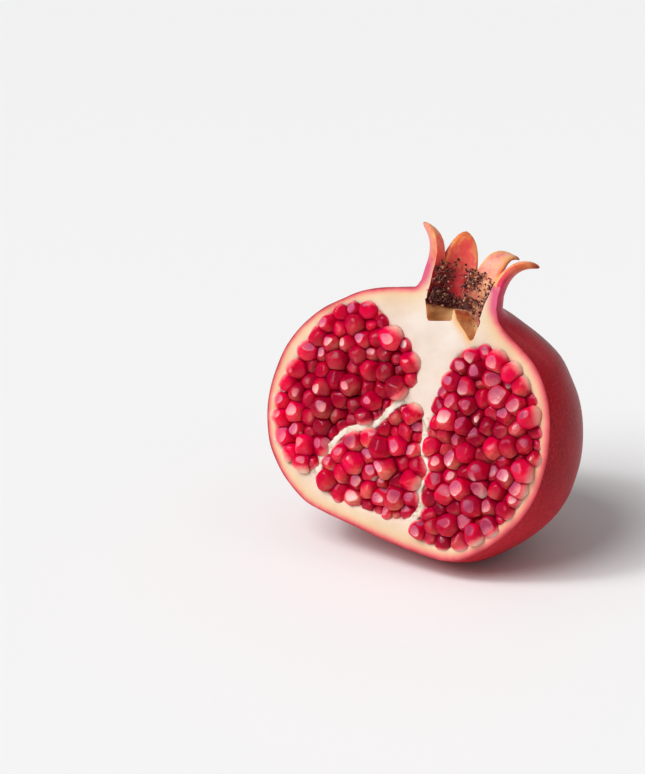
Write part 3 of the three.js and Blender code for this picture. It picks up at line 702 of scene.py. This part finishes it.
def loft_grid():
    """The whole skin as rings of points, with what the materials need to know of each."""
    angles = column_angles()
    rings, values = [], []

    def add(points, inner, tips=0.0, edges=FAR):
        a, t = fruit_axes(points[:, 0], points[:, 1])
        above = points[:, 1] - np.interp(points[:, 0], *zip(*HOLLOW_TOP))
        rings.append(points)
        rows = (t, float(inner), tips, edges, a, above)
        values.append(np.stack([np.broadcast_to(row, len(points)) for row in rows], 1))

    for row in curve_through(OUTLINE, BODY_RINGS):
        add(body_ring(row, angles), 0)
    shares = [math.sin(k * math.pi / (2 * BLADE_RINGS)) for k in range(BLADE_RINGS + 1)]
    for side, inner, order in ((1, 0, shares), (-1, 1, shares[-2::-1])):
        for share in order:
            points, tips, edges = blade_ring(angles, share, side)
            add(points, inner, tips, edges)
    cup = [neck_point(*row, angles) for row in curve_through(CUP, CUP_RINGS)]
    top, bottom = cup[-1], floor_ring(FLOOR_RADIUS, angles)
    for ring in cup:
        add(ring, 1)
    for share in CUP_FOOT:
        add(top + (bottom - top) * share, 1)
    for radius in np.arange(FLOOR_RADIUS, 0.2, -FLOOR_STEP):
        add(floor_ring(radius, angles), 1)
    return rings, values


def half_skin():
    """The loft behind the cut as a bmesh with its layers."""
    rings, values = loft_grid()
    bm = bmesh.new()
    layers = [bm.verts.layers.float.new(name) for name in SKIN_LAYERS + ("from_skin", "flank")]

    def vertex(point, row):
        v = bm.verts.new(point)
        for layer, value in zip(layers, row):
            v[layer] = value
        return v

    grid = [[vertex(p, row) for p, row in zip(points, rows)] for points, rows in zip(rings, values)]
    t, a = STEM_POLE
    scar = vertex(fruit(a, t, BODY_AXIS_W), (t, 0, 0, FAR, 0, FAR))
    floor = vertex(floor_ring(0, np.zeros(1))[0], (32, 1, 0, FAR, 0, -3))
    for i, j in round_pairs(len(grid[0])):
        bm.faces.new((scar, grid[0][i], grid[0][j]))
        bm.faces.new((floor, grid[-1][j], grid[-1][i]))
        for low, high in zip(grid, grid[1:]):
            bm.faces.new((low[i], high[i], high[j], low[j]))
    bmesh.ops.remove_doubles(bm, verts=bm.verts, dist=1e-4)
    bmesh.ops.recalc_face_normals(bm, faces=bm.faces)
    bmesh.ops.bisect_plane(
        bm, geom=bm.verts[:] + bm.edges[:] + bm.faces[:], dist=1e-4,
        plane_co=(0, 0, 0), plane_no=(0, 0, 1), clear_outer=True,
    )
    return bm


def open_edges(bm):
    """The edges with a face on one side only."""
    return [e for e in bm.edges if len(e.link_faces) == 1]


def open_loop(bm):
    """The vertices round the opening, one after another."""
    left = open_edges(bm)
    loop = list(left.pop().verts)
    while left:
        step = next(e for e in left if loop[-1] in e.verts)
        left.remove(step)
        loop.append(step.other_vert(loop[-1]))
    return loop[:-1]


def other_chambers(name):
    """The outlines of the chambers beside one."""
    return [curve_through(CHAMBERS[k], 200, True) for k in CHAMBERS if k != name]


def chamber_edge(name):
    """A chamber's outline at the face, ragged, and more so along the thin walls."""
    loop = even_loop(curve_through(CHAMBERS[name], 200, True), WALL_STEP)
    wall = 1 - smooth(1.0, 4.0, nearest(loop, other_chambers(name))[0])
    inset = RIND_LIP + (WALL_LIP - RIND_LIP) * wall
    for owner, u, v, reach, depth in FLAPS:
        if owner == name:
            away = (loop[:, 0] - u) ** 2 + (loop[:, 1] - v) ** 2
            inset = inset + depth * np.exp(-away / reach**2)
    loop = grown(loop, -inset[:, None])

    def wander(scale, octaves, *places):
        return np.array(
            [[rough((x, y, w), scale, octaves, shift) for w, shift in places] for x, y in loop]
        )

    coarse = wander(3.0, 3, (0, 1.0), (5, 2.0)) * (0.30 + 0.34 * wall)[:, None]
    fine = wander(1.2, 2, (9, 3.0), (14, 4.0)) * (0.08 + 0.16 * wall)[:, None]
    return loop + coarse + fine


def beside_ridge(points):
    """How near points of the cut lie to the lit side of the cup's ridge."""
    return np.exp(-distance(points, CUP_FLANK, closed=False) / FLANK_REACH)


def face_height(points, skin_line, holes):
    """How far the cut stands out of its plane, and how thin a wall each point is on."""
    lips, second, _ = nearest(points, holes.values())
    wall = 1 - smooth(2.4, 4.6, lips + second)
    near_skin = smooth(0, 2, distance(points, skin_line, closed=False))
    w = []
    for (x, y), thin, lip, calm in zip(points, wall, lips, near_skin):
        soft = 0.16 * rough((x, y, 2), 9, 3) + 0.06 * rough((x, y, 4), 2.4, 3, 4.0)
        crest = 0.35 + 0.3 * rough((x, y, 8), 3.2, 3, 6.0) + 0.10 * rough((x, y, 1), 0.8, 2, 2.0)
        w.append(soft * calm + thin * crest - (0.5 - 0.35 * thin) * math.exp(-lip / 0.4))
    return np.array(w), wall, lips


def cut_face(bm):
    """The cut filled with pith round the three chambers."""
    loop = open_loop(bm)
    floats = bm.verts.layers.float
    outer = np.array([v.co[:2] for v in loop])
    skin_line = outer[np.array([v[floats["inner"]] for v in loop]) <= 0.5]
    for v, away, lit in zip(loop, distance(outer, skin_line, closed=False), beside_ridge(outer)):
        v[floats["from_skin"]] = away
        v[floats["flank"]] = lit
    holes = {name: chamber_edge(name) for name in CHAMBERS}
    rng = np.random.default_rng(FACE_SEED)

    def on_pith(points):
        good = inside(points, outer)
        for hole in holes.values():
            good &= ~inside(points, hole)
        return good

    def scatter(step, clear_outer, clear_hole, thin_only):
        grid = staggered(outer, step)
        grid += rng.uniform(-FACE_JITTER, FACE_JITTER, grid.shape) * step
        lips, second, _ = nearest(grid, holes.values())
        keep = on_pith(grid) & (distance(grid, outer) > clear_outer) & (lips > clear_hole)
        thin = lips + second < THIN_WALL
        return grid[keep & (thin if thin_only else ~thin)]

    free = [scatter(FACE_STEP, 0.55, 0.5, False), scatter(WALL_STEP, 0.3, 0.12, True)]
    coords, edges = [], []
    for ring in (outer, *holes.values()):
        edges += [(len(coords) + i, len(coords) + j) for i, j in round_pairs(len(ring))]
        coords += list(ring)
    flat, faces, _ = triangulated([*coords, *np.vstack(free)], edges, 0)
    faces = np.array([f for f in faces if len(f) == 3])
    faces = faces[on_pith(flat[faces].mean(1))]
    w, wall, lip = face_height(flat, skin_line, holes)
    w[distance(flat, outer) < 1e-3] = 0
    layers = {
        "from_skin": distance(flat, skin_line, closed=False),
        "wall": wall,
        "flank": beside_ridge(flat),
        "pocket": 0.35 * np.exp(-lip / 0.25) * (1 - wall),
    }
    return np.column_stack([flat, w]), faces, layers, holes, skin_line


def pocket_walls(holes, skin_line):
    """The chambers' sides and floors."""
    verts, faces, dark = [], [], []
    for hole in holes.values():
        start, count = len(verts), len(hole)
        top, wall, _ = face_height(hole, skin_line, holes)
        for i, (x, y) in enumerate(hole):
            verts.append((x, y, top[i]))
            dark.append(0.35 * (1 - wall[i]))
        for k, depth in enumerate(POCKET_DEPTHS, 1):
            ring = grown(hole, -0.04 * k)
            verts += [(x, y, -depth) for x, y in ring]
            dark += [0.55 + 0.1 * k] * count
            base = start + k * count
            for i, j in round_pairs(count):
                faces.append((base - count + i, base - count + j, base + j, base + i))
        _, floor, origins = triangulated(ring, round_pairs(count), 1)
        faces += [tuple(base + origins[i][0] for i in f) for f in floor]
    return np.array(verts), faces, np.array(dark)


def build_peel():
    """Skin, cut face, pockets and crown as one closed mesh. Gives the chambers' edges."""
    bm = half_skin()
    verts, faces, face_layers, holes, skin_line = cut_face(bm)
    names = SKIN_LAYERS + ("from_skin", "wall", "flank", "pocket")
    floats = bm.verts.layers.float
    layers = {name: floats.get(name) or floats.new(name) for name in names}
    for face in bm.faces:
        within = sum(v[layers["inner"]] for v in face.verts) / len(face.verts)
        face.material_index = 2 if within > 0.5 else 0
        face.smooth = True

    def add(points, polygons, values):
        made = []
        for k, point in enumerate(points):
            v = bm.verts.new(point)
            v[layers["across"]], v[layers["height"]] = fruit_axes(point[0], point[1])
            for key, row in values.items():
                v[layers[key]] = row[k]
            made.append(v)
        for f in polygons:
            face = bm.faces.new([made[i] for i in f])
            face.material_index = 1
            face.smooth = True

    add(verts, faces, face_layers)
    wall_verts, wall_faces, dark = pocket_walls(holes, skin_line)
    add(wall_verts, wall_faces, {"from_skin": np.full(len(dark), 10.0), "pocket": dark})
    bmesh.ops.remove_doubles(bm, verts=bm.verts, dist=2e-3)
    bmesh.ops.recalc_face_normals(bm, faces=bm.faces)
    for e in bm.edges:
        kinds = {f.material_index for f in e.link_faces}
        if len(kinds) == 2 and 1 in kinds:
            e.smooth = False
    loose = sum(1 for e in bm.edges if len(e.link_faces) != 2)
    print("peel", len(bm.verts), "verts", len(bm.faces), "faces", loose, "open edges")
    materials = (skin_material(), flesh_material(), crown_material())
    hand_over(bmesh_object("peel_fine", bm, materials), "peel")
    return holes


# ---- the arils


def ball(level):
    """A ball's points and triangles."""
    bm = bmesh.new()
    bmesh.ops.create_icosphere(bm, subdivisions=level, radius=1)
    verts = np.array([v.co[:] for v in bm.verts])
    faces = np.array([[v.index for v in f.verts] for f in bm.faces])
    bm.free()
    return verts / np.linalg.norm(verts, axis=1)[:, None], faces


def aril_shape(directions, radius, planes):
    """A ball cut by planes (direction, distance) with rounded edges, and each plane's share."""
    total = np.full(len(directions), radius ** -float(ARIL_CRISP))
    shares = []
    for way, away in planes:
        term = (np.maximum(0, directions @ way) / away) ** ARIL_CRISP
        shares.append(term)
        total += term
    return total ** (-1 / ARIL_CRISP), [share / total for share in shares]


def edge_depths(outline, points):
    """How far points lie inside an outline, and the ways further in."""
    e = np.roll(outline, -1, 0) - outline
    d = points[:, None, :] - outline
    f = np.clip((d * e).sum(2) / (e**2).sum(1), 0, 1)
    d = d - f[..., None] * e
    lengths = np.sqrt((d**2).sum(2))
    k = lengths.argmin(1)
    rows = np.arange(len(points))
    sign = np.where(inside(points, outline), 1, -1)
    away = lengths[rows, k]
    return sign * away, d[rows, k] / np.maximum(away, 1e-9)[:, None] * sign[:, None]


def heap(name):
    """Arils pushed together at random in a chamber.

    Lengths along w are squeezed by ARIL_SQUEEZE here, so that an aril is a ball. Gives the
    middles, the radii, how deep in the chamber each lies, the way further in, and the draws.
    """
    outline = curve_through(CHAMBERS[name], len(CHAMBERS[name]) * 2, True)
    others = other_chambers(name)
    rng = np.random.default_rng(SEEDS[name])
    low, high = outline.min(0), outline.max(0)
    count = int(area(outline) * HEAP_COUNT)
    spots = rng.uniform(low, high, (count * 6, 2))
    spots = spots[edge_depths(outline, spots)[0] > 1.5][:count]
    count = len(spots)
    points = np.column_stack([spots, rng.uniform(-HEAP_DEPTH, 0, count)])
    radius = ARIL_SMALLEST + (ARIL_LARGEST - ARIL_SMALLEST) * rng.beta(2.0, 1.8, count)
    ceiling = rng.uniform(*HEAP_CEILING, count)
    for _ in range(HEAP_STEPS):
        d = points[:, None, :] - points[None]
        gap = np.sqrt((d**2).sum(2)) + 1e-9
        short = np.maximum(0, HEAP_PRESS * (radius[:, None] + radius) - gap)
        np.fill_diagonal(short, 0)
        points += HEAP_PUSH * (d / gap[..., None] * short[..., None]).sum(1)
        points[:, 2] += HEAP_RISE
        depth, way = edge_depths(outline, points[:, :2])
        near = nearest(points[:, :2], others)[0]
        by_wall = EDGE_SHARE - 0.25 * (1 - smooth(1.5, 4, near))
        margin = radius * np.where(points[:, 2] > -1.5, by_wall, 0.6)
        points[:, :2] += way * np.maximum(0, margin - depth)[:, None]
        limit = ceiling - 0.9 * (1 - smooth(2.5, 6, near))
        points[:, 2] = np.clip(points[:, 2], -HEAP_DEPTH, limit)
    # Small arils grow in the gaps that are left near the cut.
    trial = rng.uniform(low, high, (FILLER_PLACES, 2))
    trial_depth, trial_way = edge_depths(outline, trial)
    keep = trial_depth > 0.5
    trial, trial_depth, trial_way = trial[keep], trial_depth[keep], trial_way[keep]
    for _ in range(MOST_FILLERS):
        shown = points[:, 2] > -3.2
        away = np.sqrt(((trial[:, None] - points[None, shown, :2]) ** 2).sum(2))
        gap = (away - 0.96 * radius[shown]).min(1)
        best = int(gap.argmax())
        if gap[best] < FILLER_GAP:
            break
        size = min(3.0, gap[best] + 1.4)
        spot = trial[best] + trial_way[best] * max(0, EDGE_SHARE * size - trial_depth[best])
        points = np.vstack([points, [*spot, FILLER_LEVEL]])
        radius = np.append(radius, size)
    depth, way = edge_depths(outline, points[:, :2])
    return points, radius, depth, way, rng


def build_arils(name, holes):
    """A chamber's arils, each a ball flattened against its neighbours, and their bed."""
    points, radius, depth, way, rng = heap(name)
    gaps = np.sqrt(((points[:, None] - points[None]) ** 2).sum(2))
    tones, reflection_chance, tables, glow_share, lightness = ARIL_LOOKS[name]
    verts, faces, start = [], [], 0
    layers = {key: [] for key in ARIL_LAYERS}
    shapes = {level: ball(level) for level in (2, 4)}
    for k, centre in enumerate(points):
        top_layer = centre[2] > TOP_LAYER
        directions, triangles = shapes[4 if top_layer else 2]
        r = radius[k] * ARIL_SWELL
        table = np.array([*rng.normal((0.02, 0.12), 0.15), 1.0])
        table /= np.linalg.norm(table)
        planes = [(table, r * rng.uniform(*tables))]
        for _ in range(ARIL_FACETS):
            facet = rng.normal(0, 1, 3)
            facet[2] = abs(facet[2])
            planes.append((facet / np.linalg.norm(facet), r * rng.uniform(0.80, 0.98)))
        for j in np.where((gaps[k] < NEIGHBOURS_WITHIN) & (gaps[k] > 0.1))[0]:
            towards = (points[j] - centre) / gaps[k, j]
            share = gaps[k, j] * radius[k] / (radius[k] + radius[j])
            planes.append((towards, share - ARIL_GAP))
        reach, shares = aril_shape(directions, r, planes)
        own = directions * reach[:, None]
        local = own / r
        body = centre + own
        body[:, 2] /= ARIL_SQUEEZE
        verts.append(body)
        faces.append(triangles + start)
        start += len(body)
        # Its looks: pale where it meets the rind, deep red at the deep red places, and darker low
        # down in the chamber as painted shade.
        rim = 1 - smooth(2.2, 4.5, depth[k])
        inwards = np.array([*way[k], 0.25])
        one, two, shown, lit, pick = rng.uniform(0, 1, 5)
        glow_way = np.array([0.35, -0.6, 0.25]) + rng.normal(0, 0.22, 3)
        glow_way /= np.linalg.norm(glow_way)
        low = min(3.0, -centre[2])
        dim = max(math.exp(-math.dist(centre[:2], spot) ** 2 / DIM_REACH**2) for spot in DIM_SPOTS)
        one = tones[0] + (tones[1] - tones[0]) * one + 0.2 * rim + 0.5 * smooth(-34, -44, centre[0])
        # Painted shade: arils that lie lower in the chamber are darker.
        one += 0.08 - 0.14 * low - 0.42 * dim + 0.22 * smooth(18, 27, centre[1])
        two = lightness[0] + (lightness[1] - lightness[0]) * two
        lit *= 1 - 0.5 * dim
        clear = painted_glow = 0
        if top_layer:
            # Whether this aril gets a painted reflection, and how strong it is.
            has_reflection = pick + 0.35 * dim < reflection_chance * (1.2 - 0.28 * low)
            clear = 0.5 + 0.45 * shown if has_reflection else 0.1 * shown
            # Painted glow: how strong the salmon glow is on this aril.
            painted_glow = glow_share * (0.15 + 0.85 * lit)
        wide = 0.5 * smooth(-30, -42, centre[0])
        base = smooth(-0.05 - wide, 0.95 - 0.6 * wide, -(local @ inwards)) * rim
        reflecting_facets = np.maximum(shares[0], shares[1] if lit < 0.4 else 0)
        row = (one, two, base, reflecting_facets, clear, local @ glow_way, painted_glow, local[:, 2])
        for key, value in zip(ARIL_LAYERS, row):
            layers[key].append(np.broadcast_to(value, len(body)))
    piece = mesh_object(
        f"arils_{name}_fine", np.vstack(verts), np.vstack(faces),
        {key: np.concatenate(values) for key, values in layers.items()}, ARIL_PAINT,
    )
    print(name, len(points), "arils", len(piece.data.polygons), "faces")
    hand_over(piece, f"arils_{name}")
    build_bed(name, holes[name])


def build_bed(name, hole):
    """A closed mass that fills the chamber up between the arils."""
    ring = grown(hole, -0.15)
    grid = staggered(ring, BED_STEP)
    grid = grid[inside(grid, ring) & (distance(grid, ring) > 0.5)]
    flat, faces, _ = triangulated([*ring, *grid], round_pairs(len(ring)), 1)
    bm = bmesh.new()
    layer = bm.verts.layers.float.new("rim")
    top = []
    for (x, y), away in zip(flat, distance(flat, ring)):
        w = BED_TOP + 0.6 * rough((x, y, 3), 3.0, 2, 5.0) + 0.9 * math.exp(-away / 0.8)
        top.append(bm.verts.new((x, y, w)))
        top[-1][layer] = away
    for f in faces:
        bm.faces.new([top[i] for i in f])
    rim = open_loop(bm)
    low = [bm.verts.new((v.co.x, v.co.y, BED_BOTTOM)) for v in rim]
    for i, j in round_pairs(len(rim)):
        low[i][layer] = rim[i][layer]
        bm.faces.new((rim[i], rim[j], low[j], low[i]))
    bmesh.ops.triangulate(bm, faces=[bm.faces.new(low)])
    bmesh.ops.recalc_face_normals(bm, faces=bm.faces)
    hand_over(bmesh_object(f"arils_{name}_bed", bm, [BED_PAINT]), None)


# ---- the stamens


def cup_wall(t):
    """The cup's radius and its middle at a height."""
    above = [(CROWN_FROM + 6, CROWN_RADIUS + 0.2), (CROWN_FROM, CROWN_RADIUS - WALL / 2)]
    rows = [(*row, CROWN_A) for row in above] + CUP + [CUP_BELOW]
    heights, *measures = zip(*reversed(rows))
    return [float(np.interp(t, heights, measure)) for measure in measures]


def build_stamens():
    """Dried threads with dark anthers on the inside of the crown."""
    rng = np.random.default_rng(STAMEN_SEED)
    verts, faces, one = [], [], []
    knob, knob_faces = ball(1)

    def thread(path, radius, shade):
        start = len(verts)
        for k, p in enumerate(path):
            ahead = path[min(k + 1, len(path) - 1)] - path[max(k - 1, 0)]
            ahead /= np.linalg.norm(ahead)
            side = np.cross(ahead, (0.3, 0.5, 0.81))
            side /= np.linalg.norm(side)
            other = np.cross(ahead, side)
            r = radius * (1 - 0.5 * k / (len(path) - 1))
            for x in 2 * math.pi * np.arange(THREAD_SIDES) / THREAD_SIDES:
                verts.append(p + r * (side * math.cos(x) + other * math.sin(x)))
                one.append(shade)
        last = len(verts) - THREAD_SIDES
        for base in range(start, last, THREAD_SIDES):
            for s, n in round_pairs(THREAD_SIDES):
                faces.append((base + s, base + n, base + THREAD_SIDES + n, base + THREAD_SIDES + s))
        faces.append(tuple(start + s for s in reversed(range(THREAD_SIDES))))
        faces.append(tuple(last + s for s in range(THREAD_SIDES)))

    def anther(place, size, shade):
        lumps = knob * (size * rng.uniform(0.6, 1.4, 3)) * (1 + rng.normal(0, 0.12, (len(knob), 1)))
        faces.extend(knob_faces + len(verts))
        verts.extend(place + lumps)
        one.extend([shade] * len(knob))

    for angle_low, angle_high, t_low, t_high, count in STAMEN_PATCHES:
        for _ in range(count):
            angle = rad(rng.uniform(angle_low, angle_high))
            t = rng.uniform(t_low, t_high)
            length = rng.uniform(0.8, 3.2)
            drift = rng.normal(0, 0.12)
            lean = rng.uniform(-0.4, 1.0)
            path = []
            for f in np.arange(THREAD_POINTS) / (THREAD_POINTS - 1):
                bowed = 0.15 + length * 0.42 * math.sin(f * math.pi * 0.6)
                radius, middle = cup_wall(t + length * lean * f)
                place = (t + length * lean * f, radius - bowed, middle, angle + drift * f)
                path.append(neck_point(*place) + rng.normal(0, 0.08, 3))
            if max(p[2] for p in path) > -0.4:
                continue  # it would stand in front of the cut
            thread(path, rng.uniform(0.07, 0.12), rng.choice([0.3, 0.55, 0.8]))
            for _ in range(rng.integers(1, 3)):
                shade = rng.choice(ANTHER_SHADES, p=ANTHER_CHANCES)
                anther(path[-1] + rng.normal(0, 0.28, 3), rng.uniform(0.2, 0.44), shade)
    piece = mesh_object("stamens_fine", verts, faces, {"one": one}, stamen_material())
    print("stamens", len(faces), "faces")
    hand_over(piece, "stamens")


# ---- the studio


def in_part(*way):
    """A way in the face frame as one in the part's frame."""
    return TO_PART.to_3x3() @ Vector(way)


def studio():
    """White floor, even light from the camera's upper left, and the camera."""
    scene = bpy.context.scene
    mesh = bpy.data.meshes.new("floor")
    r = FLOOR_REACH
    mesh.from_pydata([(-r, -r, 0), (r, -r, 0), (r, r, 0), (-r, r, 0)], [], [(0, 1, 2, 3)])
    floor = in_scene(mesh, [Paint("floor_white", (0.94, 0.94, 0.94), 0.6).material])
    floor.location.z = -FLOOR_DROP

    world = bpy.data.worlds.new("studio")
    scene.world = world
    world.use_nodes = True
    background = world.node_tree.nodes["Background"]
    background.inputs["Color"].default_value = (1, 1, 1, 1)
    background.inputs["Strength"].default_value = AMBIENT

    # Suns, so that the floor is lit evenly: a wide soft one and a small one for the glints.
    for name, energy, spread, towards in SUNS:
        light = bpy.data.lights.new(name, "SUN")
        light.energy = energy
        light.angle = rad(spread)
        away = -in_part(*towards).normalized()
        in_scene(light).rotation_euler = away.to_track_quat("-Z", "Y").to_euler()

    # The camera stands where the face is seen from its right and aims past it, so that the face's
    # origin comes where it belongs in the picture.
    c, s = math.cos(FACE_TURN), math.sin(FACE_TURN)
    width, height = PICTURE
    rightwards, upwards = FACE_AT[0] - width / 2, height / 2 - FACE_AT[1]
    pixels = PIXELS_A_MM * CAMERA_AWAY  # the lens's length in pixels
    towards, right = Vector((s, 0, c)), Vector((c, 0, -s))
    forward = in_part(*(-towards * pixels - right * rightwards - Vector((0, upwards, 0))))
    forward.normalize()
    side = forward.cross(in_part(0, 1, 0)).normalized()
    axes = Matrix([list(row) for row in zip(side, side.cross(forward), -forward)]).to_4x4()
    data = bpy.data.cameras.new("camera")
    camera = in_scene(data)
    camera.matrix_world = Matrix.Translation(TO_PART @ (towards * CAMERA_AWAY)) @ axes
    data.sensor_width = SENSOR
    data.lens = pixels / height * SENSOR
    data.clip_start = 0.05
    scene.camera = camera
    scene.view_settings.view_transform = "Standard"


# ---- all of it

ARIL_PAINT = aril_material()
BED_PAINT = bed_material()
chamber_holes = build_peel()
for chamber in CHAMBERS:
    build_arils(chamber, chamber_holes)
build_stamens()
studio()
